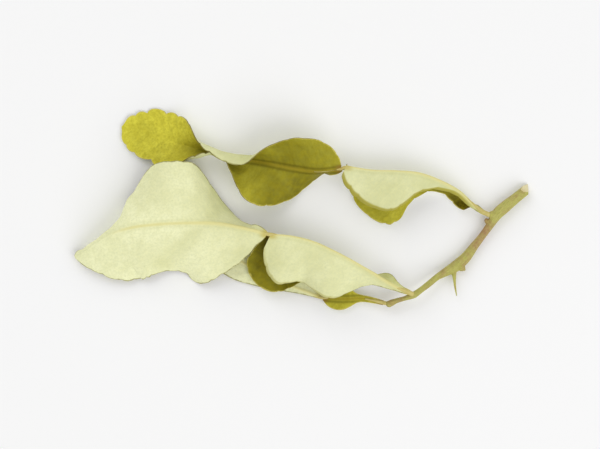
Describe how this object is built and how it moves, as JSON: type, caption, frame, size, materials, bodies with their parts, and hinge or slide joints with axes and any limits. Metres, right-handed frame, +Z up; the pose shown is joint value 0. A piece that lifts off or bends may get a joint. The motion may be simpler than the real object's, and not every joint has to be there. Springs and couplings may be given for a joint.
{
  "type": "makrut lime leaf sprig",
  "caption": "Cut sprig of makrut lime lying on a surface: a thorned twig with folded and rolled double leaves, each a winged stalk jointed to a blade.",
  "frame": {"origin": "centre of the sprig's box, at the surface it lies on", "axes": "+X from the leaf tips to the twig's cut end, +Y across the sprig on the surface, +Z up"},
  "size_m": [0.127, 0.0564, 0.0113],
  "materials": {
    "twig_bark": "satin",
    "leaf_underside": "matte",
    "leaf_upper_side": "satin"
  },
  "bodies": {
    "root": {"twig": "twig_bark", "lower_leaf_wing": "leaf_underside", "lower_leaf_blade": "leaf_upper_side", "middle_leaf_wing": "leaf_underside", "middle_leaf_blade": "leaf_underside", "top_leaf_wing": "leaf_upper_side", "top_leaf_blade": "leaf_underside"}
  },
  "joints": []
}
